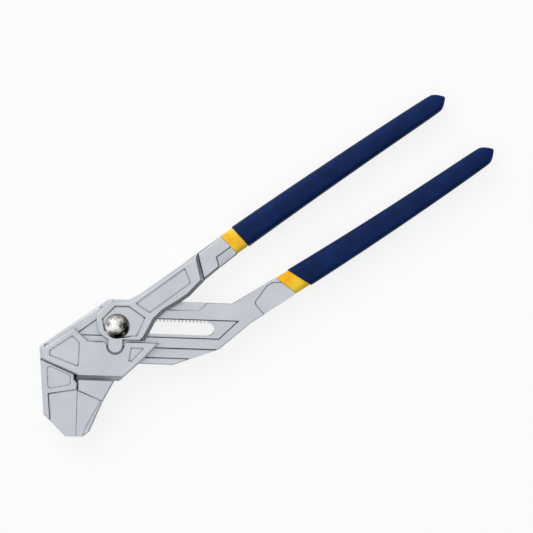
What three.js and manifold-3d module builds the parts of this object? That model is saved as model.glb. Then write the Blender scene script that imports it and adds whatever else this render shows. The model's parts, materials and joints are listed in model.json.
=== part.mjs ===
// Parallel-jaw water pump pliers with a push-button pivot, lying flat with the button up.
// Millimetres. Every piece is laid out about the pivot axis at its first notch: X runs along the
// slot towards the handles, Y runs away from the jaws, Z runs up through the button, and z = 0
// is the middle plane of the forgings. The finished group stands on z = 0.
import * as THREE from 'three';
import { mergeVertices } from 'three/addons/utils/BufferGeometryUtils.js';
import Module from 'manifold-3d';

const wasm = await Module();
wasm.setup();

// Thicknesses and running gaps of the three forgings
const BAR_THICK = 8;
const CHEEK_THICK = 3.85; // each arm of the two forks that straddle the bar
const JAW_THICK = 11; // both jaws, below the bar
const SLIDE_GAP = 0.15; // between a cheek and the bar's face
const EDGE_GAP = 0.35; // between a fork's floor and the bar's edge
const JAW_GAP = 0.25; // between the closed jaw faces
const CUT_SPARE = 2; // how far a cutter runs past the surface it opens

// Slotted bar, from the slot's centre line and the pivot axis
const BAR_TOP = 13.2;
const BAR_BOTTOM = 18.4;
const BAR_CORNER = 4.9; // top corner, left of the pivot
const BAR_REACH = 57; // where the top edge turns up into the shank
const BAR_HEEL = 28.4; // where the bottom edge starts to rise
const BAR_RISE_X = 51.2; // the bend half way up that rise
const BAR_RISE_DROP = 9.8;
const BAR_CHAMFER = 0.35;
const NOSE_CHAMFER = 0.9; // along the slanted edge behind the nose
const LEDGE_DROP = 4.4; // lower strip along the top edge
const LEDGE_END = 40.8;
const LEDGE_STEP = 0.3;
const RAIL_WIDTH = 4.8; // flat between the track and the guide groove
const GROOVE_WIDTH = 5.5; // guide groove for the sliding jaw's ribs
const GROOVE_DEPTH = 1;
const GROOVE_START = 36; // left end, hidden by the jaw's cheek
const STEP_SLANT = 1; // run for rise of the slanted ends of ledge and track

// Toothed slot and the recessed track round it
const SLOT_BELOW = 3.25; // plain edge below the centre line
const SLOT_ABOVE = 3; // tooth crests above it
const SLOT_REACH = 48.5; // right end of the slot
const NOTCH_PITCH = 1.85;
const NOTCH_STEPS = 18; // notches that the pivot can be moved by
const NOTCH_DEPTH = 1.2;
const TOOTH_CREST = 0.6;
const TOOTH_FLANK = 0.3; // run of one sloping flank
const TOOTH_GAP = 0.12; // between meshing teeth
const RELIEF_EXTRA = 0.1; // untoothed rear part of the slot, above the tooth roots
const TRACK_ABOVE = 4.75;
const TRACK_BELOW = 5.1;
const TRACK_DEPTH = 0.6;
const TRACK_END = 60.9; // top right corner of the track
const TRACK_START = 8.8; // top left corner
const TRACK_START_SLANT = 1.3; // run for rise of the left end, under the head

// Fixed jaw
const JAW_FACE = 19; // pivot axis to the gripping face
const JAW_TIP = 55.7; // slot's centre line to the jaw tips
const NOSE_BACK = 38.5; // pivot axis to the nose
const NOSE_DROP = 11.2;
const HEEL_DROP = 45; // where the back turns in towards the tip
const HEEL_INSET = 3.1;
const TIP_WIDTH = 5.4; // flat across the fixed jaw's tip
const JAW_RELIEF = 1.6; // undercut at the root of the gripping face
const JAW_RELIEF_SIDE = 2.3; // upright side, from the cheek's foot down
const JAW_RELIEF_RUN = 1.9; // slanted side below it, along the jaw
const JAW_RELIEF_DEPTH = 4; // into each face, which leaves a web
const JAW_CHAMFER = 0.5;
const TIP_STEP = 0.6; // lower face at both tips
const TIP_STEP_START = 31.5;
const TIP_STEP_BORDER = 3; // strip left at full height beside it
const PANEL_DEPTH = 0.45; // shallow forged panels
const PANEL_BORDER = 3.2;
const JAW_PANEL_DEPTH = 0.25; // the softer one on the fixed jaw
const PANEL_CORNER = 1.5;
const PANEL_LEAN = 1;

// Sliding jaw
const CHEEK_TOP = 7.6; // top edge of the cheeks, below the slot's centre line
const CHEEK_LEFT = 36.8;
const CHEEK_PEAK_X = 21.4; // corner that points up beside the lever's head
const CHEEK_PEAK_DROP = 1.5;
const CHEEK_STEP_X = 14.3; // where that corner comes back to the top edge
const CHEEK_LEFT_TOP = 12.2;
const CHEEK_LEFT_SIDE = 2.4; // upright left edge
const CHEEK_LEFT_FOOT = 17.8;
const CHEEK_LEFT_INSET = 0.5;
const CHEEK_RIGHT = 21;
const CHEEK_ELBOW_X = 14.8;
const CHEEK_ELBOW_DROP = 14.9;
const CHEEK_FOOT = 27.3; // bottom edge, below the slot's centre line
const CHEEK_FOOT_RIGHT = 1.9;
const CHEEK_FOOT_CHAMFER = 2.5;
const CHEEK_CHAMFER = 0.6;
const CHEEK_CLEARANCE = 0.4; // fixed jaw's step below the cheek's lower left edge
const RIB_GAP = 0.25; // sliding jaw's rib in its groove
const JAW_SHOULDER_X = 6.1; // right side of the sliding jaw's nose
const JAW_SHOULDER_DROP = 38;
const JAW_FLARE_X = 0.6;
const JAW_END_X = 12.4;
const JAW_END_DROP = 53.1;
const JAW_TIP_WIDTH = 3.2;
const LEFT_PANEL = [[-33.5, -12.9], [-33.5, -15.6], [-18.3, -21.1], [-18.1, -8.7], [-22, -4.9]];
const LEFT_PANEL_CORNER = 1;
const RIGHT_PANEL = [[7.1, -10.2], [6, -17.4], [8.1, -17.4], [14.3, -10.2]];
const RIGHT_PANEL_CORNER = 0.55;
const TIP_EDGE = 0.9; // strip left beside the sliding jaw's tip step

// Lever head. Corner lists run round each outline from the pivot axis, as [x, y].
const HEAD_LEFT = 10.4;
const HEAD_FOOT = 6.8;
const HEAD_FOOT_LEFT = 4.7;
const HEAD_FOOT_RIGHT = 14;
const HEAD_CROWN = 13.3;
const HEAD_CHEEK = [[-HEAD_LEFT, 5.7], [-10.2, 1], [-9, -3.7]]; // rounded left side, downwards
const HEAD_NECK = [[19.2, 3.7], [23.5, 8.1], [30.9, 12.8], [35.4, 16.1]]; // lower edge towards the shank
const HEAD_END = [[42.6, 24], [38.8, 37.5]]; // ramp down to the shank
const HEAD_BACK = [[10.7, 16.4], [5.3, HEAD_CROWN], [-3.3, HEAD_CROWN]]; // upper edge, back to the crown
const HEAD_CHAMFER = 1.7;
const HEAD_SIDE_CHAMFER = 0.5; // round the left side and along the foot
const HEAD_SIDE_INNER = [[12.1, -HEAD_FOOT], [14.3, -2.2], [1, 10]]; // where that edge ends
const LOBE_DROP = 9.7; // pivot axis to the lobe's centre
const LOBE_OFFSET = 0.5; // to the left of the pivot axis
const LOBE_RADIUS = 3.8;
const LOBE_GAP = 0.75; // in the sliding jaw's notch
const LOBE_CHAMFER = 0.4;
const LOBE_ROOT = 3.2; // how far the lobe runs up into the head
const NOTCH_FILLET = 3.2; // rounded lips of that notch
const HEX_CORNERS = [
  [-1.4, 10.3], [-7.7, 3.5], [-6.5, -2.2], [1, -6.1], [10.2, -4.6], [14.1, 4.8], [5.7, 10.4],
];
const HEX_DEPTH = 0.8; // seven-sided recess round the button
const LABEL_CORNERS = [[8.6, 11.6], [16.2, 7], [36.2, 22.7], [33, 30.5]];
const LABEL_DEPTH = 0.5; // bare panel along the lever
const LABEL_CORNER = 0.8;
const WALL_SLOPE = 0.5; // draft of forged recess walls, as run
const STEP_WALL = 0.3; // the same for the low steps on the bar

// Handles: axis from the head to the tip, bowed a little, and the tang inside the grips
const LOWER_START_X = 68;
const LOWER_START_Y = 13;
const LOWER_ANGLE = 34.9;
const LOWER_BOW = -1.4;
const UPPER_START_X = 45;
const UPPER_START_Y = 35.3;
const UPPER_ANGLE = 36.4;
const UPPER_BOW = 0.8;
const HANDLE_LENGTH = 142.6;
const TANG_WIDTH = 11.5;
const TANG_TIP_WIDTH = 7.7;
const LOWER_TANG_THICK = 7.3;
const UPPER_TANG_THICK = 9.6;
const TANG_TAPER = 0.75; // tip thickness as a share of the root's
const TANG_SHORT = 9; // tang ends this far inside the grip's tip
const SHANK_WIDTH = 12.2; // bare steel ahead of the bands
const SHANK_THICK = 10.4; // lever's shank between its head and the band
const SHANK_CHAMFER = 1.2;
const SHANK_LEDGE = 0.6; // lower half of the lever's shank
const SHANK_LEDGE_START = 3; // along the handle's axis
const SHANK_LEDGE_LEAN = 2.6; // how far its end leans back
const SHANK_LEDGE_SIDE = 1.1; // below the axis
const SHANK_ROOT = [[30, 30.9], [36, 17]]; // start of the lever's shank, inside the head
const SHANK_HEEL = [49.6, 30.3]; // bend in its lower edge
const SHANK_RUN_IN = 6; // bar's shank starts this far before the axis does
const SHANK_SWELL = 0.9; // its extra width there
const SHANK_BACK = 4; // the same along its upper edge
const SHANK_PANEL = [ // along and across the handle's axis
  [0.1, 0.9], [1.8, -8.1], [26, -8.1], [26, -3], [18.2, 2.4], [13.6, 5], [10.2, 5],
];
const SHANK_PANEL_CORNER = 2.5;
const SHANK_SPARE = 2; // cut off again at the band's mouth
const BAND_CLEAR = 0.1; // shank's end to that mouth
const TANG_ROOT = 5; // tangs start this far along the axis
const SECTION_POWER = 3.2; // squareness of the handle sections
const RING_POINTS = 20;
const BODY_STATIONS = 3; // sections along a handle, between its mouth and its tip

// Dipped vinyl: a yellow first coat and a navy second coat that starts further back
const BAND_COAT = 0.45;
const GRIP_COAT = 0.5;
const COAT_GAP = 0.08;
const UPPER_BAND_START = 11.9; // along the handle's axis
const UPPER_BAND_SLANT = 9; // degrees that the dip line leans
const UPPER_GRIP_START = 18.8;
const UPPER_GRIP_SLANT = 7;
const LOWER_BAND_START = 18.6;
const LOWER_BAND_SLANT = 22;
const LOWER_GRIP_START = 26.3;
const LOWER_GRIP_SLANT = 26;
const LEAN_LENGTH = 0.12; // share of a coat over which the lean of its dip line fades
const LEAN_LEFT = 0.4; // lean left at that place
const TIP_ROUND = 6.3; // length of the pointed tip
const TIP_STATIONS = [0.25, 0.5, 0.75, 0.92, 1]; // shares of that length
const TIP_POWER = 1.6; // how the tip's width falls off: 1 less a power, eased
const TIP_EASE = 0.75;
const TIP_BLUNT = 0.14; // flat left at the very tip, as a share of the section
const BORE_RUN_OUT = 9; // how far the coat's bore runs out of its mouth

// Pivot stack, from the rear face to the button
const JOURNAL_RADIUS = 4.4;
const BORE_GAP = 0.1; // running gap of the turned pieces
const STACK_GAP = 0.1; // between pieces stacked along the pin
const REAR_WEB = 0.5; // cheek left behind the ring's groove
const RING_THICK = 0.5; // retaining ring, sprung into the rear cheek's bore
const RING_BITE = 0.7; // how far it reaches into the cheek
const RING_WIDTH = 1.2;
const RING_OPENING = 3;
const WASHER_THICK = 0.4;
const WASHER_BORE = 1.5;
const STEM_RADIUS = 1.6; // guides the collar
const PIN_EDGE = 0.3; // broken edges of the turned pieces
const SPRING_ROOM = 3.6; // between the pin's shoulder and the collar, button out
const SPRING_WIRE = 0.4;
const SPRING_RADIUS = 2.25;
const SPRING_TURNS = 3;
const COLLAR_HALF = 7; // half length in the slot, wider than the button's bore
const COLLAR_THICK = 1.6;
const GUIDE_GAP = 0.15; // collar and pin in the slot
const NECK_RADIUS = 2.8; // collar's neck, pressed into the button
const NECK_DEPTH = 1.8; // how far it enters the button
const BUTTON_TRAVEL = 1.9;
const BUTTON_RADIUS = 6;
const BUTTON_GAP = 0.15; // in the front cheek
const BUTTON_STAND = 1.4; // straight side above the recess floor
const BUTTON_CROWN = 2.6; // rise of the dome
const BUTTON_EDGE = 0.4;
const TURN_FACETS = 32;
const CROWN_STEPS = 6; // rings of facets on the dome
const COIL_STEPS = 16; // facets along one turn of the spring
const SLOT_END_SEGMENTS = 8;

// Levels on the front half, measured from the middle plane
const barFace = BAR_THICK / 2;
const cheekInner = barFace + SLIDE_GAP;
const cheekOuter = cheekInner + CHEEK_THICK;
const hexFloor = cheekOuter - HEX_DEPTH;
const slideTravel = NOTCH_PITCH * NOTCH_STEPS;

// Converts a closed geometry to a solid that can be joined and cut.
function solid(geometry) {
  geometry.deleteAttribute('normal');
  geometry.deleteAttribute('uv');
  const merged = mergeVertices(geometry, 1e-4);
  const corners = merged.index.array;
  const triangles = [];
  for (let i = 0; i < corners.length; i += 3) {
    const [a, b, c] = corners.slice(i, i + 3);
    if (a !== b && b !== c && c !== a) triangles.push(a, b, c);
  }
  return new wasm.Manifold(new wasm.Mesh({
    numProp: 3,
    vertProperties: new Float32Array(merged.attributes.position.array),
    triVerts: new Uint32Array(triangles),
  }));
}

function mesh(name, body, material) {
  const { vertProperties, triVerts } = body.getMesh();
  const geometry = new THREE.BufferGeometry();
  geometry.setAttribute('position', new THREE.BufferAttribute(vertProperties, 3));
  geometry.setIndex(new THREE.BufferAttribute(triVerts, 1));
  const result = new THREE.Mesh(geometry, material);
  result.name = name;
  return result;
}

const point = (x, y) => new THREE.Vector2(x, y);
const corners = (list) => list.map(([x, y]) => point(x, y));

// A closed outline through the points, with its corners rounded to arcs where a radius is given.
function outline(points, radius = 0) {
  if (radius === 0) return new THREE.Shape(points);
  const shape = new THREE.Shape();
  points.forEach((corner, i) => {
    const back = points[(i + points.length - 1) % points.length].clone().sub(corner);
    const ahead = points[(i + 1) % points.length].clone().sub(corner);
    const halfAngle = Math.acos(back.dot(ahead) / (back.length() * ahead.length())) / 2;
    const reach = Math.min(radius / Math.tan(halfAngle), back.length() / 2, ahead.length() / 2);
    const arc = reach * Math.tan(halfAngle);
    const inward = back.clone().normalize().add(ahead.clone().normalize()).normalize();
    const centre = corner.clone().addScaledVector(inward, arc / Math.sin(halfAngle));
    const from = corner.clone().addScaledVector(back.normalize(), reach).sub(centre).angle();
    const to = corner.clone().addScaledVector(ahead.normalize(), reach).sub(centre).angle();
    shape.absarc(centre.x, centre.y, arc, from, to, back.cross(ahead) > 0);
  });
  shape.closePath();
  return shape;
}

// An outline raised from one level to another, chamfered along both faces.
function plate(shape, low, high, chamfer = 0, curveSegments = 4) {
  const geometry = new THREE.ExtrudeGeometry(shape, {
    depth: high - low - 2 * chamfer,
    bevelEnabled: chamfer > 0,
    bevelThickness: chamfer,
    bevelSize: chamfer,
    bevelOffset: -chamfer,
    bevelSegments: 1,
    curveSegments,
  });
  return solid(geometry.translate(0, 0, low + chamfer));
}

const throughPlate = (shape, half, chamfer) => plate(shape, -half, half, chamfer);

// Cuts the same recess into the front and the rear face, with sloping walls.
function recess(body, shape, face, depth, slope = WALL_SLOPE) {
  const floor = face - depth;
  const top = face + CUT_SPARE;
  const front = plate(shape, floor, top, slope);
  const rear = plate(shape, -top, -floor, slope);
  return body.subtract(front).subtract(rear);
}

// A bar of triangular section that takes a 45 degree chamfer off one edge of a face.
function edgeCut(from, to, size, face, side) {
  const outer = side * (face + CUT_SPARE);
  const section = new THREE.Shape([
    point(CUT_SPARE, side * (face - size - CUT_SPARE)),
    point(-size - CUT_SPARE, outer),
    point(CUT_SPARE, outer),
  ]);
  const along = to.clone().sub(from);
  const depth = along.length() + 2 * CUT_SPARE;
  const { x, y } = along.normalize();
  const place = new THREE.Matrix4().set(-y, 0, x, from.x, x, 0, y, from.y, 0, 1, 0, 0, 0, 0, 0, 1);
  const bar = new THREE.ExtrudeGeometry(section, { depth, bevelEnabled: false });
  return solid(bar.translate(0, 0, -CUT_SPARE).applyMatrix4(place));
}

// Chamfers an edge that has the solid on its right, on the front and the rear face.
function chamferEdge(body, from, to, size, face) {
  return body.subtract(edgeCut(from, to, size, face, 1)).subtract(edgeCut(from, to, size, face, -1));
}

function box(x0, x1, y0, y1, z0, z1) {
  const geometry = new THREE.BoxGeometry(x1 - x0, y1 - y0, z1 - z0);
  return solid(geometry.translate((x0 + x1) / 2, (y0 + y1) / 2, (z0 + z1) / 2));
}

// A profile of [radius, height] points turned about the pivot axis.
function turned(profile, facets = TURN_FACETS) {
  const points = profile.map(([radius, height]) => point(radius, height));
  return solid(new THREE.LatheGeometry(points, facets).rotateX(Math.PI / 2));
}

const cylinder = (radius, low, high) => turned([[0, low], [radius, low], [radius, high], [0, high]]);

const ringOf = (inner, outer, low, high) => turned(
  [[inner, low], [outer, low], [outer, high], [inner, high], [inner, low]],
);

// The y of the line through two points, at x.
const lineAt = (p, q, x) => p.y + (q.y - p.y) * (x - p.x) / (q.x - p.x);

// A handle's axis: a shallow bow from the head to the tip.
function handleAxis(x, y, degrees, bow) {
  const along = point(HANDLE_LENGTH, 0).rotateAround(point(0, 0), THREE.MathUtils.degToRad(degrees));
  const side = point(-along.y, along.x).normalize().multiplyScalar(2 * bow);
  const start = point(x, y);
  return new THREE.QuadraticBezierCurve(
    start,
    start.clone().addScaledVector(along, 0.5).add(side),
    start.clone().add(along),
  );
}

const lowerAxis = handleAxis(LOWER_START_X, LOWER_START_Y, LOWER_ANGLE, LOWER_BOW);
const upperAxis = handleAxis(UPPER_START_X, UPPER_START_Y, UPPER_ANGLE, UPPER_BOW);

// A point a given way along a handle's axis and out to its upper side.
function onHandle(axis, along, across) {
  const t = along / HANDLE_LENGTH;
  const tangent = axis.getTangent(THREE.MathUtils.clamp(t, 0, 1));
  return axis.getPoint(t).add(point(-tangent.y, tangent.x).multiplyScalar(across));
}

// Lofts rounded-rectangle sections along a handle's axis. A station gives its place along the
// axis, its half width and half thickness, and how far its ring leans.
function loft(axis, stations) {
  const power = 2 / SECTION_POWER;
  const squared = (value) => Math.sign(value) * Math.abs(value) ** power;
  const positions = [];
  const index = [];
  for (const { along, half, thick, lean } of stations) {
    for (let k = 0; k < RING_POINTS; k += 1) {
      const angle = (2 * Math.PI * k) / RING_POINTS;
      const across = half * squared(Math.cos(angle));
      const place = onHandle(axis, along - across * lean, across);
      positions.push(place.x, place.y, thick * squared(Math.sin(angle)));
    }
  }
  const cap = (station, forward) => {
    const hub = positions.length / 3;
    const place = onHandle(axis, station.along, 0);
    positions.push(place.x, place.y, 0);
    const first = forward ? (stations.length - 1) * RING_POINTS : 0;
    for (let k = 0; k < RING_POINTS; k += 1) {
      const next = (k + 1) % RING_POINTS;
      index.push(hub, first + (forward ? k : next), first + (forward ? next : k));
    }
  };
  for (let i = 0; i + 1 < stations.length; i += 1) {
    for (let k = 0; k < RING_POINTS; k += 1) {
      const next = (k + 1) % RING_POINTS;
      const a = i * RING_POINTS;
      const b = a + RING_POINTS;
      index.push(a + k, a + next, b + next, a + k, b + next, b + k);
    }
  }
  cap(stations[0], false);
  cap(stations[stations.length - 1], true);
  const geometry = new THREE.BufferGeometry();
  geometry.setAttribute('position', new THREE.Float32BufferAttribute(positions, 3));
  geometry.setIndex(index);
  return solid(geometry);
}

// The tang grown evenly by a coat: from a start, which may lean, to a rounded tip.
function coated(axis, tangThick, start, degrees, coat, tipGap) {
  const end = HANDLE_LENGTH - tipGap;
  const lean = Math.tan(THREE.MathUtils.degToRad(degrees));
  const size = (along) => {
    const share = along / HANDLE_LENGTH;
    return {
      along,
      half: THREE.MathUtils.lerp(TANG_WIDTH, TANG_TIP_WIDTH, share) / 2 + coat,
      thick: tangThick / 2 * THREE.MathUtils.lerp(1, TANG_TAPER, share) + coat,
      lean: 0,
    };
  };
  const roundFrom = end - TIP_ROUND;
  const between = (share) => size(THREE.MathUtils.lerp(start, roundFrom, share));
  const stations = [{ ...between(0), lean }, { ...between(LEAN_LENGTH), lean: lean * LEAN_LEFT }];
  for (let k = 1; k <= BODY_STATIONS; k += 1) stations.push(between(k / BODY_STATIONS));
  for (const share of TIP_STATIONS) {
    const shrink = Math.max(TIP_BLUNT, (1 - share ** TIP_POWER) ** TIP_EASE);
    const station = size(roundFrom + TIP_ROUND * share);
    stations.push({ ...station, half: station.half * shrink, thick: station.thick * shrink });
  }
  return loft(axis, stations);
}

// Points of one tooth gap, from right to left, centred at x: opening edge, root, root, edge.
function notch(x, crest, root, ease) {
  const rootHalf = (NOTCH_PITCH - TOOTH_CREST) / 2 - TOOTH_FLANK - ease;
  const openHalf = rootHalf + TOOTH_FLANK;
  return [
    point(x + openHalf, crest), point(x + rootHalf, root),
    point(x - rootHalf, root), point(x - openHalf, crest),
  ];
}

const slotLeft = -COLLAR_HALF - GUIDE_GAP;
const notchRoot = SLOT_ABOVE + NOTCH_DEPTH;
const reliefTop = notchRoot + RELIEF_EXTRA;
const collarTop = cheekInner - STACK_GAP;
const collarBottom = collarTop - COLLAR_THICK;
const toothBottom = collarBottom - STACK_GAP;

// Levels and radii of the pivot stack
const skirt = barFace + STACK_GAP + BUTTON_TRAVEL; // button's lower edge, which stops on the bar
const neckTop = skirt + NECK_DEPTH;
const stemEnd = neckTop - BUTTON_TRAVEL - STACK_GAP;
const springLow = collarBottom - SPRING_ROOM;
const rearBore = JOURNAL_RADIUS + BORE_GAP;
const ringRadius = rearBore + RING_BITE;
const ringBottom = -hexFloor + REAR_WEB + STACK_GAP / 2;
const ringTop = ringBottom + RING_THICK;
const washerTop = ringTop + STACK_GAP + WASHER_THICK;
const pinEnd = washerTop + STACK_GAP;

// The slot's outline with a given top edge; its right end is round.
function slotOutline(topEdge, top) {
  const middle = (top - SLOT_BELOW) / 2;
  const radius = (top + SLOT_BELOW) / 2;
  const shape = new THREE.Shape();
  shape.moveTo(slotLeft, -SLOT_BELOW);
  shape.lineTo(SLOT_REACH - radius, -SLOT_BELOW);
  shape.absarc(SLOT_REACH - radius, middle, radius, -Math.PI / 2, Math.PI / 2, false);
  for (const { x, y } of topEdge) shape.lineTo(x, y);
  shape.lineTo(slotLeft, top);
  shape.closePath();
  return shape;
}

function toothedSlot() {
  const edge = [];
  const radius = (SLOT_ABOVE + SLOT_BELOW) / 2;
  const last = Math.floor((SLOT_REACH - radius) / NOTCH_PITCH - 0.5);
  const first = Math.ceil(slotLeft / NOTCH_PITCH + 0.5);
  for (let k = last; k >= first; k -= 1) {
    edge.push(...notch(k * NOTCH_PITCH, SLOT_ABOVE, notchRoot, 0));
  }
  const top = barFace + CUT_SPARE;
  const toothed = plate(slotOutline(edge, SLOT_ABOVE), toothBottom, top, 0, SLOT_END_SEGMENTS);
  const relief = plate(slotOutline([], reliefTop), -top, toothBottom, 0, SLOT_END_SEGMENTS);
  return toothed.add(relief);
}

const nose = point(-NOSE_BACK, -NOSE_DROP);
const heel = point(-NOSE_BACK + HEEL_INSET, -HEEL_DROP);
const barCorner = point(-BAR_CORNER, BAR_TOP);
const cheekLowLeft = point(-CHEEK_LEFT + CHEEK_LEFT_INSET, -CHEEK_LEFT_FOOT);
const cheekLowRight = point(-JAW_FACE, -CHEEK_FOOT + CHEEK_FOOT_CHAMFER);
const undercutSide = cheekLowRight.y - JAW_RELIEF_SIDE;
const undercutEnd = undercutSide - JAW_RELIEF_RUN;

const backAt = (y) => nose.x + (heel.x - nose.x) * (y - nose.y) / (heel.y - nose.y);

function fixedJaw() {
  const topAt = (x) => lineAt(cheekLowLeft, cheekLowRight, x) - CHEEK_CLEARANCE;
  const left = backAt(-CHEEK_LEFT_FOOT);
  return outline([
    point(left, topAt(left)),
    heel,
    point(-JAW_FACE - TIP_WIDTH, -JAW_TIP),
    point(-JAW_FACE, -JAW_TIP),
    point(-JAW_FACE, undercutEnd),
    point(-JAW_FACE - JAW_RELIEF, undercutSide),
    point(-JAW_FACE - JAW_RELIEF, topAt(-JAW_FACE - JAW_RELIEF)),
  ]);
}

// The end of a bare shank, lower corner first, with some length to cut off.
function shankEnd(axis, start, slant) {
  const half = SHANK_WIDTH / 2;
  const lean = half * Math.tan(THREE.MathUtils.degToRad(slant));
  const end = start + SHANK_SPARE;
  return [onHandle(axis, end + lean, -half), onHandle(axis, end - lean, half)];
}

const lowerShankEnd = shankEnd(lowerAxis, LOWER_BAND_START, LOWER_BAND_SLANT);
const upperShankEnd = shankEnd(upperAxis, UPPER_BAND_START, UPPER_BAND_SLANT);

// Cuts a shank square at its band's mouth and adds the tang that the coats go over.
function withTang(shank, axis, thick, start, slant) {
  const beyond = coated(axis, thick, start - BAND_CLEAR, slant, SHANK_WIDTH / 2, 0);
  return shank.subtract(beyond).add(coated(axis, thick, TANG_ROOT, 0, 0, TANG_SHORT));
}

function barOutline() {
  const half = SHANK_WIDTH / 2;
  return outline([
    nose,
    heel,
    point(-JAW_FACE - TIP_WIDTH, -JAW_TIP),
    point(-JAW_FACE, -JAW_TIP),
    point(-JAW_FACE, -BAR_BOTTOM),
    point(BAR_HEEL, -BAR_BOTTOM),
    point(BAR_RISE_X, -BAR_RISE_DROP),
    onHandle(lowerAxis, -SHANK_RUN_IN, -half - SHANK_SWELL),
    ...lowerShankEnd,
    onHandle(lowerAxis, -SHANK_BACK, half),
    point(BAR_REACH, BAR_TOP),
    barCorner,
  ]);
}

function slottedHandle() {
  const plain = throughPlate(barOutline(), barFace, BAR_CHAMFER);
  const bar = chamferEdge(plain, nose, barCorner, NOSE_CHAMFER, barFace);
  const jaw = throughPlate(fixedJaw(), JAW_THICK / 2, JAW_CHAMFER);
  let body = withTang(bar.add(jaw), lowerAxis, LOWER_TANG_THICK, LOWER_BAND_START, LOWER_BAND_SLANT);

  const ledgeBottom = BAR_TOP - LEDGE_DROP;
  const ledge = outline([
    point(-TRACK_START, ledgeBottom),
    point(LEDGE_END, ledgeBottom),
    point(LEDGE_END + (LEDGE_DROP + CUT_SPARE) * STEP_SLANT, BAR_TOP + CUT_SPARE),
    point(-TRACK_START, BAR_TOP + CUT_SPARE),
  ]);
  body = recess(body, ledge, barFace, LEDGE_STEP, STEP_WALL);

  const trackHeight = TRACK_ABOVE + TRACK_BELOW;
  const track = outline([
    point(-TRACK_START, TRACK_ABOVE),
    point(-TRACK_START - trackHeight * TRACK_START_SLANT, -TRACK_BELOW),
    point(TRACK_END - trackHeight * STEP_SLANT, -TRACK_BELOW),
    point(TRACK_END, TRACK_ABOVE),
  ]);
  body = recess(body, track, barFace, TRACK_DEPTH, STEP_WALL);

  const panelCorners = SHANK_PANEL.map(([along, across]) => onHandle(lowerAxis, along, across));
  const shankPanel = outline(panelCorners, SHANK_PANEL_CORNER);
  body = recess(body, shankPanel, barFace, barFace - LOWER_TANG_THICK / 2, STEP_WALL);

  const grooveTop = -TRACK_BELOW - RAIL_WIDTH;
  const groove = outline([
    point(-GROOVE_START, grooveTop),
    point(-GROOVE_START, grooveTop - GROOVE_WIDTH),
    point(BAR_RISE_X, grooveTop - GROOVE_WIDTH),
    point(BAR_RISE_X + CUT_SPARE, grooveTop),
  ]);
  body = recess(body, groove, barFace, GROOVE_DEPTH, STEP_WALL);

  const tipStep = outline([
    point(-JAW_FACE + CUT_SPARE, -TIP_STEP_START),
    point(backAt(-TIP_STEP_START) + TIP_STEP_BORDER, -TIP_STEP_START - TIP_STEP_BORDER),
    point(heel.x + TIP_STEP_BORDER, -HEEL_DROP - CUT_SPARE),
    point(heel.x, -JAW_TIP),
    point(-JAW_FACE + CUT_SPARE, -JAW_TIP - CUT_SPARE),
  ]);
  body = recess(body, tipStep, JAW_THICK / 2, TIP_STEP);

  const panelRight = -JAW_FACE - PANEL_BORDER;
  const panelLeft = backAt(-CHEEK_LEFT_FOOT) + PANEL_BORDER;
  const under = (x) => lineAt(cheekLowLeft, cheekLowRight, x) - PANEL_BORDER / 2;
  const panel = outline([
    point(panelLeft, under(panelLeft)),
    point(panelLeft + PANEL_LEAN, -TIP_STEP_START - PANEL_LEAN),
    point(panelRight, -TIP_STEP_START + PANEL_CORNER),
    point(panelRight, under(panelRight)),
  ], PANEL_CORNER);
  body = recess(body, panel, JAW_THICK / 2, JAW_PANEL_DEPTH, JAW_PANEL_DEPTH);

  const undercut = outline([
    point(-JAW_FACE, undercutEnd),
    point(-JAW_FACE + CUT_SPARE, undercutEnd),
    point(-JAW_FACE + CUT_SPARE, cheekLowRight.y),
    point(-JAW_FACE - JAW_RELIEF, cheekLowRight.y),
    point(-JAW_FACE - JAW_RELIEF, undercutSide),
  ]);
  body = recess(body, undercut, JAW_THICK / 2, JAW_RELIEF_DEPTH, 0);
  return body.subtract(toothedSlot());
}

const lobe = point(-LOBE_OFFSET, -LOBE_DROP);

function lobeOutline() {
  const shape = new THREE.Shape();
  shape.moveTo(lobe.x - LOBE_RADIUS, -HEAD_FOOT + LOBE_ROOT);
  shape.lineTo(lobe.x - LOBE_RADIUS, lobe.y);
  shape.absarc(lobe.x, lobe.y, LOBE_RADIUS, Math.PI, 2 * Math.PI, false);
  shape.lineTo(lobe.x + LOBE_RADIUS, -HEAD_FOOT + LOBE_ROOT);
  shape.closePath();
  return shape;
}

function headOutline() {
  const foot = [[-HEAD_FOOT_LEFT, -HEAD_FOOT], [HEAD_FOOT_RIGHT, -HEAD_FOOT]];
  return outline(corners([...HEAD_CHEEK, ...foot, ...HEAD_NECK, ...HEAD_END, ...HEAD_BACK]));
}

function headSideOutline() {
  const foot = [-HEAD_FOOT_LEFT, -HEAD_FOOT];
  return outline(corners([...HEAD_CHEEK, foot, ...HEAD_SIDE_INNER, HEAD_BACK.at(-1)]));
}

function leverShankOutline() {
  return outline([...corners([...SHANK_ROOT, HEAD_END[0], SHANK_HEEL]), ...upperShankEnd]);
}

// The fork's gap: room for the bar at rest and for the rising shank at the last notch.
function forkGap() {
  const floor = BAR_TOP + EDGE_GAP;
  const half = SHANK_WIDTH / 2;
  const shift = (p) => point(p.x - slideTravel, p.y + EDGE_GAP * 2);
  const near = shift(onHandle(lowerAxis, -SHANK_BACK, half));
  const far = shift(lowerShankEnd[1]);
  const kneeX = near.x - (near.y - floor) * (far.x - near.x) / (far.y - near.y);
  const shape = outline([
    point(-HEAD_LEFT - CUT_SPARE, -JAW_TIP),
    point(far.x + JAW_TIP, -JAW_TIP),
    point(far.x + JAW_TIP, lineAt(near, far, far.x + JAW_TIP)),
    point(kneeX, floor),
    point(-HEAD_LEFT - CUT_SPARE, floor),
  ]);
  return throughPlate(shape, cheekInner);
}

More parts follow.
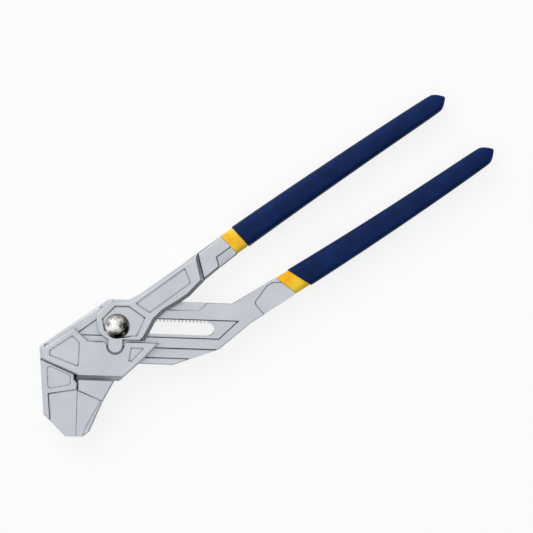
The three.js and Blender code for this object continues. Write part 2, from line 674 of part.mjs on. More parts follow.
function leverHandle() {
  const side = -SHANK_WIDTH / 2 - CUT_SPARE;
  const ledge = outline([
    onHandle(upperAxis, SHANK_LEDGE_START, -SHANK_LEDGE_SIDE),
    onHandle(upperAxis, SHANK_LEDGE_START - SHANK_LEDGE_LEAN, side),
    onHandle(upperAxis, UPPER_GRIP_START, side),
    onHandle(upperAxis, UPPER_GRIP_START, -SHANK_LEDGE_SIDE),
  ]);
  const shank = recess(
    throughPlate(leverShankOutline(), SHANK_THICK / 2, SHANK_CHAMFER),
    ledge, SHANK_THICK / 2, SHANK_LEDGE, STEP_WALL,
  );
  let body = throughPlate(headOutline(), cheekOuter, HEAD_CHAMFER)
    .add(throughPlate(headSideOutline(), cheekOuter, HEAD_SIDE_CHAMFER))
    .add(throughPlate(lobeOutline(), cheekOuter, LOBE_CHAMFER))
    .add(withTang(shank, upperAxis, UPPER_TANG_THICK, UPPER_BAND_START, UPPER_BAND_SLANT));
  body = recess(body, outline(corners(HEX_CORNERS)), cheekOuter, HEX_DEPTH);
  body = recess(body, outline(corners(LABEL_CORNERS), LABEL_CORNER), cheekOuter, LABEL_DEPTH);
  return body
    .subtract(forkGap())
    .subtract(cylinder(BUTTON_RADIUS + BUTTON_GAP, 0, cheekOuter + CUT_SPARE))
    .subtract(cylinder(rearBore, -cheekOuter - CUT_SPARE, 0))
    .subtract(cylinder(ringRadius + BORE_GAP, ringBottom - STACK_GAP / 2, ringTop + STACK_GAP / 2));
}

function cheekOutline() {
  return outline([
    point(-CHEEK_LEFT, -CHEEK_LEFT_TOP),
    point(-CHEEK_LEFT, -CHEEK_LEFT_TOP - CHEEK_LEFT_SIDE),
    cheekLowLeft,
    cheekLowRight,
    point(-JAW_FACE + JAW_GAP, -CHEEK_FOOT),
    point(CHEEK_FOOT_RIGHT, -CHEEK_FOOT),
    point(CHEEK_ELBOW_X, -CHEEK_ELBOW_DROP),
    point(CHEEK_RIGHT, -CHEEK_TOP),
    point(-CHEEK_STEP_X, -CHEEK_TOP),
    point(-CHEEK_PEAK_X, -CHEEK_PEAK_DROP),
  ]);
}

function lobeNotch() {
  const half = LOBE_RADIUS + LOBE_GAP;
  const top = -CHEEK_TOP;
  const shape = new THREE.Shape();
  shape.moveTo(lobe.x - half - NOTCH_FILLET, top + CUT_SPARE);
  shape.lineTo(lobe.x - half - NOTCH_FILLET, top);
  shape.quadraticCurveTo(lobe.x - half, top, lobe.x - half, lobe.y);
  shape.absarc(lobe.x, lobe.y, half, Math.PI, 2 * Math.PI, false);
  shape.quadraticCurveTo(lobe.x + half, top, lobe.x + half + NOTCH_FILLET, top);
  shape.lineTo(lobe.x + half + NOTCH_FILLET, top + CUT_SPARE);
  shape.closePath();
  return plate(shape, -cheekOuter - CUT_SPARE, cheekOuter + CUT_SPARE, 0, SLOT_END_SEGMENTS);
}

function slidingJaw() {
  const webTop = -BAR_BOTTOM - EDGE_GAP;
  const face = -JAW_FACE + JAW_GAP;
  const jaw = outline([
    point(face, webTop),
    point(face, -JAW_TIP),
    point(face + JAW_TIP_WIDTH, -JAW_TIP),
    point(-JAW_END_X, -JAW_END_DROP),
    point(-JAW_SHOULDER_X, -JAW_SHOULDER_DROP),
    point(-JAW_FLARE_X, -CHEEK_FOOT),
    point(CHEEK_FOOT_RIGHT, -CHEEK_FOOT + CHEEK_FOOT_CHAMFER),
    point(CHEEK_FOOT_RIGHT, webTop),
  ]);
  const channel = throughPlate(outline([
    point(-NOSE_BACK - CUT_SPARE, CUT_SPARE),
    point(-NOSE_BACK - CUT_SPARE, -JAW_TIP),
    point(face, -JAW_TIP),
    point(face, webTop),
    point(CHEEK_RIGHT + CUT_SPARE, webTop),
    point(CHEEK_RIGHT + CUT_SPARE, CUT_SPARE),
  ]), cheekInner);
  const grooveTop = -TRACK_BELOW - RAIL_WIDTH;
  const rib = (low, high) => box(
    -GROOVE_START + RIB_GAP * 2, CHEEK_ELBOW_X - CHEEK_FOOT_CHAMFER,
    grooveTop - GROOVE_WIDTH + RIB_GAP, grooveTop - RIB_GAP, low, high,
  );
  const ribFace = barFace - GROOVE_DEPTH + RIB_GAP;
  const cheeks = throughPlate(cheekOutline(), cheekOuter, CHEEK_CHAMFER);
  const foot = [point(CHEEK_RIGHT, -CHEEK_FOOT), point(face, -CHEEK_FOOT)];
  let body = chamferEdge(cheeks, ...foot, CHEEK_FOOT_CHAMFER, cheekOuter)
    .subtract(channel)
    .add(throughPlate(jaw, JAW_THICK / 2, JAW_CHAMFER))
    .add(rib(ribFace, cheekInner + SLIDE_GAP))
    .add(rib(-cheekInner - SLIDE_GAP, -ribFace));
  const leftPanel = outline(corners(LEFT_PANEL), LEFT_PANEL_CORNER);
  body = recess(body, leftPanel, cheekOuter, PANEL_DEPTH);
  const rightPanel = outline(corners(RIGHT_PANEL), RIGHT_PANEL_CORNER);
  body = recess(body, rightPanel, cheekOuter, PANEL_DEPTH);
  const tipStep = outline([
    point(face - CUT_SPARE, -TIP_STEP_START),
    point(face - CUT_SPARE, -JAW_TIP - CUT_SPARE),
    point(face + JAW_TIP_WIDTH - TIP_EDGE / 2, -JAW_TIP - CUT_SPARE),
    point(-JAW_END_X - TIP_EDGE * 2, -JAW_END_DROP + TIP_EDGE),
    point(-JAW_SHOULDER_X - TIP_EDGE, -JAW_SHOULDER_DROP),
    point(-JAW_SHOULDER_X - TIP_EDGE / 2, -JAW_SHOULDER_DROP + TIP_EDGE),
  ]);
  body = recess(body, tipStep, JAW_THICK / 2, TIP_STEP);
  return body.subtract(lobeNotch());
}

// The pin: a journal in the rear cheek, flats that slide in the slot, and a stem for the collar.
function hingePin() {
  const shaft = turned([
    [0, pinEnd], [JOURNAL_RADIUS - PIN_EDGE, pinEnd], [JOURNAL_RADIUS, pinEnd + PIN_EDGE],
    [JOURNAL_RADIUS, springLow], [STEM_RADIUS, springLow],
    [STEM_RADIUS, stemEnd - PIN_EDGE], [STEM_RADIUS - PIN_EDGE, stemEnd], [0, stemEnd],
  ]);
  const flat = (low, high) => box(
    -JOURNAL_RADIUS - CUT_SPARE, JOURNAL_RADIUS + CUT_SPARE, low, high, -cheekInner, springLow + CUT_SPARE,
  );
  return shaft
    .subtract(flat(-JOURNAL_RADIUS - CUT_SPARE, -SLOT_BELOW + GUIDE_GAP))
    .subtract(flat(reliefTop - GUIDE_GAP, JOURNAL_RADIUS + CUT_SPARE));
}

// A flat open ring in a groove of the rear bore.
function retainingRing() {
  const half = RING_OPENING / 2;
  const opening = box(-half, half, -ringRadius - CUT_SPARE, 0, ringBottom - CUT_SPARE, ringTop + CUT_SPARE);
  return ringOf(ringRadius - RING_WIDTH, ringRadius, ringBottom, ringTop).subtract(opening);
}

// The toothed block in the slot, with a hollow neck that carries the button.
function lockingCollar() {
  const crest = SLOT_ABOVE - TOOTH_GAP;
  const root = notchRoot - TOOTH_GAP;
  const edge = [];
  const teeth = Math.floor(COLLAR_HALF / NOTCH_PITCH - 0.5);
  for (let k = teeth; k >= -teeth; k -= 1) edge.push(...notch(k * NOTCH_PITCH, crest, root, TOOTH_GAP));
  const shape = outline([
    point(-COLLAR_HALF, -SLOT_BELOW + GUIDE_GAP),
    point(COLLAR_HALF, -SLOT_BELOW + GUIDE_GAP),
    point(COLLAR_HALF, crest),
    ...edge,
    point(-COLLAR_HALF, crest),
  ]);
  return plate(shape, collarBottom, collarTop)
    .add(cylinder(NECK_RADIUS, collarBottom + PIN_EDGE, neckTop))
    .subtract(cylinder(STEM_RADIUS + BORE_GAP, collarBottom - CUT_SPARE, neckTop + CUT_SPARE));
}

// A domed button with a blind bore for the collar's neck.
function pushButton() {
  const bore = NECK_RADIUS + BORE_GAP;
  const roof = neckTop + STACK_GAP;
  const sphere = (BUTTON_RADIUS ** 2 + BUTTON_CROWN ** 2) / (2 * BUTTON_CROWN);
  const dome = hexFloor + BUTTON_STAND;
  const crown = [];
  for (let k = 0; k <= CROWN_STEPS; k += 1) {
    const radius = BUTTON_RADIUS * (1 - k / CROWN_STEPS);
    crown.push([radius, dome + BUTTON_CROWN - sphere + Math.sqrt(sphere ** 2 - radius ** 2)]);
  }
  return turned([
    [0, roof], [bore, roof], [bore, skirt], [BUTTON_RADIUS - BUTTON_EDGE, skirt],
    [BUTTON_RADIUS, skirt + BUTTON_EDGE], ...crown,
  ]);
}

// The coil spring round the stem, between the pin's shoulder and the collar.
class Coil extends THREE.Curve {
  getPoint(t, target = new THREE.Vector3()) {
    const angle = 2 * Math.PI * SPRING_TURNS * t;
    const low = springLow + STACK_GAP + SPRING_WIRE / 2;
    const high = collarBottom - STACK_GAP - SPRING_WIRE / 2;
    return target.set(
      SPRING_RADIUS * Math.cos(angle), SPRING_RADIUS * Math.sin(angle), THREE.MathUtils.lerp(low, high, t),
    );
  }
}

function buttonSpring() {
  const wire = new THREE.Shape().absarc(0, 0, SPRING_WIRE / 2, 0, 2 * Math.PI);
  return solid(new THREE.ExtrudeGeometry(wire, {
    extrudePath: new Coil(), steps: SPRING_TURNS * COIL_STEPS, curveSegments: 3, bevelEnabled: false,
  }));
}

function finish(color, roughness, metalness) {
  return new THREE.MeshStandardMaterial({ color, roughness, metalness });
}

const forgedSteel = finish(0xc3c7ce, 0.4, 1);
const chrome = finish(0xdfe2e6, 0.12, 1);
const turnedSteel = finish(0x9a9da2, 0.35, 1);
const navyVinyl = finish(0x1b2a59, 0.45, 0);
const yellowVinyl = finish(0xfcb91a, 0.45, 0);

// Both coats of one handle: the yellow one full length, the navy one over it from further back.
function coats(side, axis, thick, bandStart, bandSlant, gripStart, gripSlant) {
  const bandOut = COAT_GAP + BAND_COAT;
  const gripIn = bandOut + COAT_GAP;
  const gripOut = gripIn + GRIP_COAT;
  const tip = (coat) => gripOut - coat;
  const tangRoom = coated(axis, thick, bandStart - BORE_RUN_OUT, 0, COAT_GAP, TANG_SHORT - COAT_GAP);
  const band = coated(axis, thick, bandStart, bandSlant, bandOut, tip(bandOut)).subtract(tangRoom);
  const bandRoom = coated(axis, thick, bandStart, 0, gripIn, tip(gripIn));
  const grip = coated(axis, thick, gripStart, gripSlant, gripOut, 0).subtract(bandRoom);
  return [mesh(`${side}_band`, band, yellowVinyl), mesh(`${side}_grip`, grip, navyVinyl)];
}

const assembly = new THREE.Group();
assembly.add(
  mesh('slotted_handle', slottedHandle(), forgedSteel),
  ...coats(
    'lower', lowerAxis, LOWER_TANG_THICK,
    LOWER_BAND_START, LOWER_BAND_SLANT, LOWER_GRIP_START, LOWER_GRIP_SLANT,
  ),
  mesh('lever_handle', leverHandle(), forgedSteel),
  ...coats(
    'upper', upperAxis, UPPER_TANG_THICK,
    UPPER_BAND_START, UPPER_BAND_SLANT, UPPER_GRIP_START, UPPER_GRIP_SLANT,
  ),
  mesh('sliding_jaw', slidingJaw(), forgedSteel),
  mesh('hinge_pin', hingePin(), turnedSteel),
  mesh(
    'thrust_washer', ringOf(WASHER_BORE, JOURNAL_RADIUS, washerTop - WASHER_THICK, washerTop), turnedSteel,
  ),
  mesh('retaining_ring', retainingRing(), turnedSteel),
  mesh('locking_collar', lockingCollar(), turnedSteel),
  mesh('button_spring', buttonSpring(), turnedSteel),
  mesh('push_button', pushButton(), chrome),
);

// The pliers lie on their rear cheeks, centred over the origin.
const extent = new THREE.Box3().setFromObject(assembly);
const middle = extent.getCenter(new THREE.Vector3());
assembly.position.set(-middle.x, -middle.y, -extent.min.z);

const pliers = new THREE.Group();
pliers.name = 'water_pump_pliers';
pliers.add(assembly);
export default pliers;
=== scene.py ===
"""Parallel-jaw water pump pliers on a pale studio floor, seen from straight above."""
import json
import math

import bmesh
import bpy
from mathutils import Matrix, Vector

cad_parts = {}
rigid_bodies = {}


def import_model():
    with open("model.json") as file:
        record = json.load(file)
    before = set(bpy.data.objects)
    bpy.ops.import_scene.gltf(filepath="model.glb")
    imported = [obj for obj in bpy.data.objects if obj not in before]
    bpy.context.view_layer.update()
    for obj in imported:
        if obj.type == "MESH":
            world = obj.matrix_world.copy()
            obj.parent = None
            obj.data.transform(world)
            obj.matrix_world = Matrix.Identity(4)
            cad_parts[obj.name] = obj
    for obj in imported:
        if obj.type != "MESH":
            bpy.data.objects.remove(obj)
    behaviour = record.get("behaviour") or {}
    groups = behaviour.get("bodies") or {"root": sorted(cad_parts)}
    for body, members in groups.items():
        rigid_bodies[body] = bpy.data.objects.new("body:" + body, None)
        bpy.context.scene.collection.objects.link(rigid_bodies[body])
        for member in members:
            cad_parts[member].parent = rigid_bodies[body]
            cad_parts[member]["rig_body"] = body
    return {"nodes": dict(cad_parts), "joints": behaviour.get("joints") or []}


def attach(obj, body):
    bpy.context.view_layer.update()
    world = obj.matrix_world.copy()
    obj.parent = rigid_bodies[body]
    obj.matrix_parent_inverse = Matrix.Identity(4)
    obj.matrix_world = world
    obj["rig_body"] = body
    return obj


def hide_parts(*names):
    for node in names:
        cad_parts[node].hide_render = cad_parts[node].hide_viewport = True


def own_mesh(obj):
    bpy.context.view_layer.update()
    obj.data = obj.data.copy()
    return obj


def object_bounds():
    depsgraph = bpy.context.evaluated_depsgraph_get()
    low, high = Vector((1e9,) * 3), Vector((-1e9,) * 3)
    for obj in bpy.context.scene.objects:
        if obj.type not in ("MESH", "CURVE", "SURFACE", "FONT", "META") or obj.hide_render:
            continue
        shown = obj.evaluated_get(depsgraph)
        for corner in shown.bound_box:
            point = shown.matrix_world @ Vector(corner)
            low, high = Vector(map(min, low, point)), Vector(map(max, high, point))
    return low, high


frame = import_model()
cad_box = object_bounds()
MM = 0.001
JOINTS = {joint["name"]: joint for joint in frame["joints"]}
pivot = Vector(JOINTS["lever_swing"]["pos_m"])

# The photograph's view: turned a little about the upright axis, from far above
VIEW_TURN = math.radians(1.9)
VIEW_CENTRE = pivot + Vector((73.5, 32.3, 2.0)) * MM
VIEW_WIDTH = 266.5 * MM
VIEW_HEIGHT = 2.0
SENSOR = 36.0

# Light: a soft box at the upper left and a sky that is brightest on that side
KEY_PLACE = Vector((-0.8, 0.8, 1.0))
KEY_SIZE = 1.2
KEY_POWER = 5.0
SKY_BRIGHT = Vector((-0.45, 0.45, 0.77))
SKY_DARK_AT = -0.35
SKY_FULL_AT = 0.75
FLOOR_SIZE = 6.0
FLOOR_DROP = 0.05 * MM
FLOOR_GLOW = 0.82
FLOOR_ROUGHNESS = 0.9

# Forged edges are rounded where there is room; the fine faces inside the slot stay as they are
WELD = 0.002 * MM
FLAT_ANGLE = math.radians(0.4)
SHARP_ANGLE = math.radians(24)
EDGE_ROUND = 0.14 * MM
EDGE_SEGMENTS = 2
EDGE_ROOM = 0.3 * MM
SLOT_HALF = 4.6 * MM
SLOT_DEEP = 3.3 * MM
FORGED_SMOOTH = math.radians(35)
FLAT_FACE_WEIGHT = 100

# Dipped coats, the button and the turned pieces
LIP_ANGLE = math.radians(50)
LIP_ROUND = 0.22 * MM
LIP_SEGMENTS = 2
QUAD_ANGLE = math.radians(60)
SMOOTH_LEVELS = 2
DOME_CREASE = 0.9
TURNED_SMOOTH = math.radians(40)

# Grain of the finishes, drawn coarser than life where the picture could not show it
NOISE_MIDDLE = {"From Min": 0.3, "From Max": 0.7}
FINE_DETAIL = 3.0
SLOW_DETAIL = 2.0
PLATING_CLOUD = 14 * MM
BLAST_GRIT = 0.5 * MM
BLAST_DEPTH = 0.02 * MM
BLAST_STRENGTH = 0.25
BLAST_ROUGHNESS = {"To Min": 0.36, "To Max": 0.46}
# The button's slow waves: a real bump, and also dark and bright patches of reflection painted into its colour
POLISH_WAVE = 5 * MM
POLISH_DEPTH = 1.2 * MM
POLISH_STRENGTH = 1.0
POLISH_PAINTED_REFLECTION = {"From Min": 0.36, "From Max": 0.58}
# Moves the slow waves, and with them the patches of painted reflection, across the button
POLISH_SHIFT = Vector((17, 8, 0)) * MM
POLISH_ROUGHNESS = 0.1
TURNING_MARKS = 0.35 * MM
TURNING_ROUGHNESS = {"To Min": 0.28, "To Max": 0.4}
VINYL_RUN = 9 * MM
VINYL_SKIN = 0.7 * MM
VINYL_DEPTH = 0.03 * MM
VINYL_STRENGTH = 0.3
VINYL_ROUGHNESS = {"To Min": 0.44, "To Max": 0.56}
VINYL_IOR = 1.52
VINYL_SHINE = 0.12

# Painted shade in the plating's corners and recesses: reach, open share at which it is dark and at which it
# is unshaded, colour
PAINTED_SHADE_CORNERS = (
    (0.8 * MM, 0.81, 0.975, "#34363b"),
    (5.0 * MM, 0.48, 0.80, "#26272a"),
)
CORNER_SAMPLES = 16

# The nose's open corner, where no shade is painted: its place, reach and end
NOSE_CORNER = pivot + Vector((-35.1, -10.4, 4.0)) * MM
NOSE_REACH = 1.6 * MM
NOSE_FADE = 2.2 * MM

# A colour Mix node's sockets: factor, first colour, second colour, and its result
FACTOR, FIRST, SECOND, MIXED = 0, 6, 7, 2


def linear(hex_code):
    """An sRGB hex colour as linear red, green, blue and alpha."""
    shares = [int(hex_code[i:i + 2], 16) / 255 for i in (1, 3, 5)]
    return (*[s / 12.92 if s <= 0.04045 else ((s + 0.055) / 1.055) ** 2.4 for s in shares], 1.0)


def add(tree, kind, values=None, links=None, **settings):
    """Adds one node with its settings, socket values and incoming links."""
    node = tree.nodes.new(kind)
    for name, value in settings.items():
        setattr(node, name, value)
    for socket, value in (values or {}).items():
        node.inputs[socket].default_value = value
    for socket, source in (links or {}).items():
        tree.links.new(source, node.inputs[socket])
    return node


def new_material(name):
    """An empty node material and its shader."""
    material = bpy.data.materials.new(name)
    material.use_nodes = True
    tree = material.node_tree
    return material, tree, tree.nodes["Principled BSDF"]


def plating_tone(tree, place):
    """Pale grey plating, faintly clouded."""
    cloud = add(
        tree, "ShaderNodeTexNoise",
        values={"Scale": 1 / PLATING_CLOUD, "Detail": FINE_DETAIL}, links={"Vector": place},
    )
    depth = add(tree, "ShaderNodeMapRange", values=NOISE_MIDDLE, links={"Value": cloud.outputs["Fac"]})
    return add(
        tree, "ShaderNodeMix", data_type="RGBA",
        values={FIRST: linear("#c3c7ce"), SECOND: linear("#cccfd6")}, links={FACTOR: depth.outputs["Result"]},
    )


def with_painted_shade(tree, place, tone):
    """The plating's tone with shade painted into its corners and recesses, but none in the nose's open one.
    """
    # Around the nose's open corner the painted shade is left out
    nose = add(
        tree, "ShaderNodeVectorMath", operation="DISTANCE", values={1: NOSE_CORNER}, links={0: place},
    )
    nose_unshaded = add(
        tree, "ShaderNodeMapRange",
        values={"From Min": NOSE_REACH, "From Max": NOSE_FADE, "To Min": 1.0, "To Max": 0.0},
        links={"Value": nose.outputs["Value"]},
    )
    # Each pass paints shade into the colour where the piece's own faces close in around a point
    for reach, dark_at, unshaded_at, dark in PAINTED_SHADE_CORNERS:
        corner = add(
            tree, "ShaderNodeAmbientOcclusion",
            values={"Distance": reach}, samples=CORNER_SAMPLES, only_local=True,
        )
        unshaded = add(
            tree, "ShaderNodeMapRange", interpolation_type="SMOOTHSTEP",
            values={"From Min": dark_at, "From Max": unshaded_at}, links={"Value": corner.outputs["AO"]},
        )
        unshaded_share = add(
            tree, "ShaderNodeMath", operation="MAXIMUM",
            links={0: unshaded.outputs["Result"], 1: nose_unshaded.outputs["Result"]},
        )
        tone = add(
            tree, "ShaderNodeMix", data_type="RGBA",
            values={FIRST: linear(dark)}, links={FACTOR: unshaded_share.outputs[0], SECOND: tone.outputs[MIXED]},
        )
    return tone


def satin_chrome():
    """Forged steel, bead-blasted and chrome plated: pale grey satin, with shade painted into its corners and
    recesses.
    """
    material, tree, shader = new_material("satin_chrome_on_forged_steel")
    place = add(tree, "ShaderNodeTexCoord").outputs["Object"]
    tone = with_painted_shade(tree, place, plating_tone(tree, place))
    tree.links.new(tone.outputs[MIXED], shader.inputs["Base Color"])
    shader.inputs["Metallic"].default_value = 1.0
    grit = add(
        tree, "ShaderNodeTexNoise",
        values={"Scale": 1 / BLAST_GRIT, "Detail": FINE_DETAIL}, links={"Vector": place},
    )
    satin = add(
        tree, "ShaderNodeMapRange",
        values={**NOISE_MIDDLE, **BLAST_ROUGHNESS}, links={"Value": grit.outputs["Fac"]},
    )
    tree.links.new(satin.outputs["Result"], shader.inputs["Roughness"])
    pits = add(
        tree, "ShaderNodeBump",
        values={"Strength": BLAST_STRENGTH, "Distance": BLAST_DEPTH}, links={"Height": grit.outputs["Fac"]},
    )
    tree.links.new(pits.outputs["Normal"], shader.inputs["Normal"])
    return material


def bright_chrome():
    """Polished chrome on the button: a mirror with slow waves, and dark and bright patches painted into its
    colour as reflections.
    """
    material, tree, shader = new_material("polished_chrome")
    shader.inputs["Metallic"].default_value = 1.0
    shader.inputs["Roughness"].default_value = POLISH_ROUGHNESS
    place = add(tree, "ShaderNodeTexCoord").outputs["Object"]
    moved = add(tree, "ShaderNodeMapping", values={"Location": POLISH_SHIFT}, links={"Vector": place})
    wave = add(
        tree, "ShaderNodeTexNoise",
        values={"Scale": 1 / POLISH_WAVE, "Detail": SLOW_DETAIL}, links={"Vector": moved.outputs["Vector"]},
    )
    # Dark and bright patches of reflection painted into the chrome's colour, on top of the bump's real waves
    painted_reflection = add(tree, "ShaderNodeMapRange", values=POLISH_PAINTED_REFLECTION, links={"Value": wave.outputs["Fac"]})
    tone = add(
        tree, "ShaderNodeMix", data_type="RGBA",
        values={FIRST: linear("#4b4a48"), SECOND: linear("#f2f0ea")}, links={FACTOR: painted_reflection.outputs["Result"]},
    )
    tree.links.new(tone.outputs[MIXED], shader.inputs["Base Color"])
    waves = add(
        tree, "ShaderNodeBump",
        values={"Strength": POLISH_STRENGTH, "Distance": POLISH_DEPTH}, links={"Height": wave.outputs["Fac"]},
    )
    tree.links.new(waves.outputs["Normal"], shader.inputs["Normal"])
    return material


def turned_steel():
    """Ground steel of the pin, collar, ring, washer and spring: grey, with fine turning marks."""
    material, tree, shader = new_material("ground_steel")
    place = add(tree, "ShaderNodeTexCoord").outputs["Object"]
    marks = add(
        tree, "ShaderNodeTexNoise",
        values={"Scale": 1 / TURNING_MARKS, "Detail": FINE_DETAIL}, links={"Vector": place},
    )
    tone = add(
        tree, "ShaderNodeMix", data_type="RGBA",
        values={FIRST: linear("#8b8e93"), SECOND: linear("#a9acb1")}, links={FACTOR: marks.outputs["Fac"]},
    )
    tree.links.new(tone.outputs[MIXED], shader.inputs["Base Color"])
    shader.inputs["Metallic"].default_value = 1.0
    ground = add(
        tree, "ShaderNodeMapRange",
        values={**NOISE_MIDDLE, **TURNING_ROUGHNESS}, links={"Value": marks.outputs["Fac"]},
    )
    tree.links.new(ground.outputs["Result"], shader.inputs["Roughness"])
    return material


def dipped_vinyl(name, deep, pale):
    """Dipped PVC: soft low gloss, slightly uneven where the coat ran and set."""
    material, tree, shader = new_material(name)
    place = add(tree, "ShaderNodeTexCoord").outputs["Object"]
    run = add(
        tree, "ShaderNodeTexNoise",
        values={"Scale": 1 / VINYL_RUN, "Detail": SLOW_DETAIL}, links={"Vector": place},
    )
    depth = add(tree, "ShaderNodeMapRange", values=NOISE_MIDDLE, links={"Value": run.outputs["Fac"]})
    tone = add(
        tree, "ShaderNodeMix", data_type="RGBA",
        values={FIRST: linear(deep), SECOND: linear(pale)}, links={FACTOR: depth.outputs["Result"]},
    )
    tree.links.new(tone.outputs[MIXED], shader.inputs["Base Color"])
    shader.inputs["IOR"].default_value = VINYL_IOR
    shader.inputs["Specular IOR Level"].default_value = VINYL_SHINE
    skin = add(
        tree, "ShaderNodeTexNoise",
        values={"Scale": 1 / VINYL_SKIN, "Detail": FINE_DETAIL}, links={"Vector": place},
    )
    gloss = add(
        tree, "ShaderNodeMapRange",
        values={**NOISE_MIDDLE, **VINYL_ROUGHNESS}, links={"Value": skin.outputs["Fac"]},
    )
    tree.links.new(gloss.outputs["Result"], shader.inputs["Roughness"])
    ripple = add(
        tree, "ShaderNodeBump",
        values={"Strength": VINYL_STRENGTH, "Distance": VINYL_DEPTH}, links={"Height": skin.outputs["Fac"]},
    )
    tree.links.new(ripple.outputs["Normal"], shader.inputs["Normal"])
    return material


def only(piece):
    """Makes one object the only one selected."""
    bpy.ops.object.select_all(action="DESELECT")
    piece.hide_set(False)
    piece.select_set(True)
    bpy.context.view_layer.objects.active = piece


def merged_copy(node, name):
    """A copy of a CAD solid with its loose triangles welded."""
    piece = bpy.data.objects.new(name, frame["nodes"][node].data.copy())
    bpy.context.scene.collection.objects.link(piece)
    only(piece)
    bpy.ops.object.mode_set(mode="EDIT")
    bpy.ops.mesh.select_all(action="SELECT")
    bpy.ops.mesh.remove_doubles(threshold=WELD)
    bpy.ops.object.mode_set(mode="OBJECT")
    return piece


def dress(piece, node, material):
    """Gives a finished piece its material and its place on the frame."""
    piece.data.materials.clear()
    piece.data.materials.append(material)
    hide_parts(node)
    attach(piece, frame["nodes"][node]["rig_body"])
    return piece


def apply_modifier(piece, kind, **settings):
    """Adds a modifier and applies it at once."""
    only(piece)
    modifier = piece.modifiers.new(kind.lower(), kind)
    for name, value in settings.items():
        setattr(modifier, name, value)
    bpy.ops.object.modifier_apply(modifier=modifier.name)


def sharp_edges(piece, room):
    """Selects, in edit mode, the sharp edges that have room beside them to be rounded."""
    bpy.ops.mesh.select_all(action="DESELECT")
    bpy.ops.mesh.select_mode(type="EDGE")
    edit = bmesh.from_edit_mesh(piece.data)
    for edge in edit.edges:
        sharp = edge.is_manifold and edge.calc_face_angle() > SHARP_ANGLE
        shortest = min(other.calc_length() for end in edge.verts for other in end.link_edges)
        narrowest = min(2 * face.calc_area() / face.calc_perimeter() for face in edge.link_faces)
        edge.select_set(sharp and min(shortest, narrowest) > room)
    bmesh.update_edit_mesh(piece.data)


def outside_slot(piece):
    """Selects, in edit mode, all faces but the fine ones inside the toothed slot."""
    bpy.ops.mesh.select_mode(type="FACE")
    bpy.ops.mesh.select_all(action="SELECT")
    edit = bmesh.from_edit_mesh(piece.data)
    for face in edit.faces:
        offset = face.calc_center_median() - pivot
        face.select_set(abs(offset.y) > SLOT_HALF or abs(offset.z) > SLOT_DEEP)
    bmesh.update_edit_mesh(piece.data)


def facets_to_quads():
    """Joins, in edit mode, the triangles of round forms to quads, which subdivide evenly."""
    bpy.ops.mesh.select_all(action="SELECT")
    bpy.ops.mesh.tris_convert_to_quads(face_threshold=QUAD_ANGLE, shape_threshold=QUAD_ANGLE)


def forging(node, name, material):
    """A forged piece: flat facets joined, long sharp edges rounded over."""
    piece = merged_copy(node, name)
    bpy.ops.object.mode_set(mode="EDIT")
    outside_slot(piece)
    bpy.ops.mesh.dissolve_limited(angle_limit=FLAT_ANGLE)
    sharp_edges(piece, EDGE_ROOM)
    bpy.ops.mesh.bevel(offset=EDGE_ROUND, segments=EDGE_SEGMENTS, affect="EDGES", clamp_overlap=False)
    bpy.ops.object.mode_set(mode="OBJECT")
    bpy.ops.object.shade_smooth_by_angle(angle=FORGED_SMOOTH)
    apply_modifier(piece, "WEIGHTED_NORMAL", mode="FACE_AREA", weight=FLAT_FACE_WEIGHT, keep_sharp=True)
    return dress(piece, node, material)


def dipped_coat(node, name, material):
    """A dipped coat: smooth all round, with a rolled lip at its mouth."""
    piece = merged_copy(node, name)
    bpy.ops.object.mode_set(mode="EDIT")
    facets_to_quads()
    bpy.ops.object.mode_set(mode="OBJECT")
    apply_modifier(
        piece, "BEVEL", width=LIP_ROUND, segments=LIP_SEGMENTS,
        limit_method="ANGLE", angle_limit=LIP_ANGLE, use_clamp_overlap=False,
    )
    apply_modifier(piece, "SUBSURF", levels=SMOOTH_LEVELS, render_levels=SMOOTH_LEVELS)
    bpy.ops.object.shade_smooth()
    return dress(piece, node, material)


def fine_piece(node, name, material):
    """A small turned piece: welded and shaded smooth between its edges."""
    piece = merged_copy(node, name)
    bpy.ops.object.shade_smooth_by_angle(angle=TURNED_SMOOTH)
    return dress(piece, node, material)


def polished_dome(node, name, material):
    """The button: its facets smoothed to a round dome, with its edges kept."""
    piece = merged_copy(node, name)
    bpy.ops.object.mode_set(mode="EDIT")
    facets_to_quads()
    sharp_edges(piece, 0.0)
    bpy.ops.transform.edge_crease(value=DOME_CREASE)
    bpy.ops.object.mode_set(mode="OBJECT")
    apply_modifier(piece, "SUBSURF", levels=SMOOTH_LEVELS, render_levels=SMOOTH_LEVELS)
    bpy.ops.object.shade_smooth_by_angle(angle=TURNED_SMOOTH)
    return dress(piece, node, material)


chrome = satin_chrome()
ground = turned_steel()
navy = dipped_vinyl("navy_dipped_vinyl", "#001a49", "#02245a")
yellow = dipped_vinyl("yellow_dipped_vinyl", "#fcb014", "#ffdf40")

for node in ("slotted_handle", "lever_handle", "sliding_jaw"):
    forging(node, f"{node}_forging", chrome)
for side in ("lower", "upper"):
    dipped_coat(f"{side}_band", f"{side}_band_coat", yellow)
    dipped_coat(f"{side}_grip", f"{side}_grip_coat", navy)
polished_dome("push_button", "push_button_dome", bright_chrome())
for node in ("hinge_pin", "thrust_washer", "retaining_ring", "locking_collar"):
    fine_piece(node, f"{node}_ground", ground)

# The spring, which closes up towards the collar as the button goes down, gets a mesh of its own
spring = fine_piece("button_spring", "button_spring_coil", ground)
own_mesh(spring)

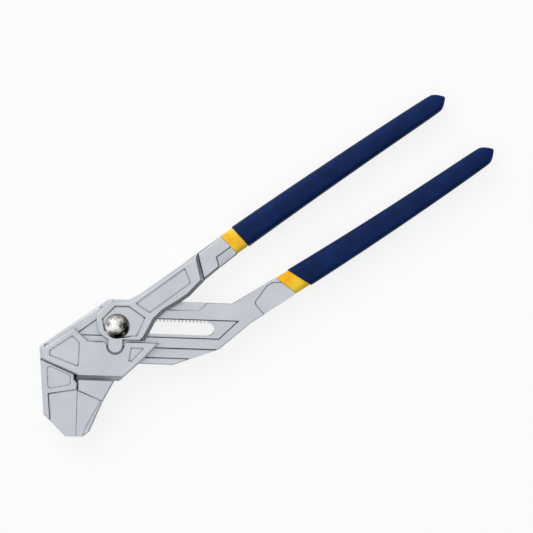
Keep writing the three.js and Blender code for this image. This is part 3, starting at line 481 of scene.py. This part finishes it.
# Stage: a white floor, which camera, mirror and glass rays see nearly evenly lit, with a faint shadow
bpy.ops.mesh.primitive_plane_add(size=FLOOR_SIZE, location=(0, 0, cad_box[0].z - FLOOR_DROP))
floor = bpy.context.object
floor.name = "studio_floor"
paper, paper_tree, paper_shader = new_material("white_paper")
paper_shader.inputs["Base Color"].default_value = linear("#f7f7f7")
paper_shader.inputs["Roughness"].default_value = FLOOR_ROUGHNESS
rays = add(paper_tree, "ShaderNodeLightPath")
seen = rays.outputs["Is Camera Ray"]
for kind in ("Is Glossy Ray", "Is Transmission Ray"):
    either = add(paper_tree, "ShaderNodeMath", operation="MAXIMUM", links={0: seen, 1: rays.outputs[kind]})
    seen = either.outputs[0]
share = add(paper_tree, "ShaderNodeMath", operation="MULTIPLY", values={1: FLOOR_GLOW}, links={0: seen})
glow = add(paper_tree, "ShaderNodeEmission", values={"Color": linear("#ffffff"), "Strength": 1.0})
blend = add(
    paper_tree, "ShaderNodeMixShader",
    links={0: share.outputs[0], 1: paper_shader.outputs[0], 2: glow.outputs[0]},
)
paper_tree.links.new(blend.outputs[0], paper_tree.nodes["Material Output"].inputs["Surface"])
floor.data.materials.append(paper)

key_data = bpy.data.lights.new("key_soft_box", "AREA")
key_data.size = KEY_SIZE
key_data.energy = KEY_POWER
key = bpy.data.objects.new("key_soft_box", key_data)
bpy.context.scene.collection.objects.link(key)
key.location = VIEW_CENTRE + KEY_PLACE
key.rotation_euler = (-KEY_PLACE).to_track_quat("-Z", "Y").to_euler()

# World: bright above and towards the upper left, so that lower right edges fall dark
world = bpy.data.worlds.new("studio")
bpy.context.scene.world = world
world.use_nodes = True
sky = world.node_tree
direction = add(sky, "ShaderNodeTexCoord")
towards_light = add(
    sky, "ShaderNodeVectorMath", operation="DOT_PRODUCT",
    values={1: SKY_BRIGHT.normalized()}, links={0: direction.outputs["Generated"]},
)
level = add(
    sky, "ShaderNodeMapRange", interpolation_type="SMOOTHSTEP",
    values={"From Min": SKY_DARK_AT, "From Max": SKY_FULL_AT},
    links={"Value": towards_light.outputs["Value"]},
)
sky.links.new(level.outputs["Result"], sky.nodes["Background"].inputs["Strength"])
sky.nodes["Background"].inputs["Color"].default_value = linear("#ffffff")

# Camera
camera_data = bpy.data.cameras.new("top_view")
camera_data.sensor_width = SENSOR
camera_data.lens = SENSOR * VIEW_HEIGHT / VIEW_WIDTH
camera = bpy.data.objects.new("top_view", camera_data)
bpy.context.scene.collection.objects.link(camera)
camera.location = VIEW_CENTRE + Vector((0, 0, VIEW_HEIGHT))
camera.rotation_euler = (0, 0, VIEW_TURN)
bpy.context.scene.camera = camera

bpy.context.scene.view_settings.view_transform = "Standard"
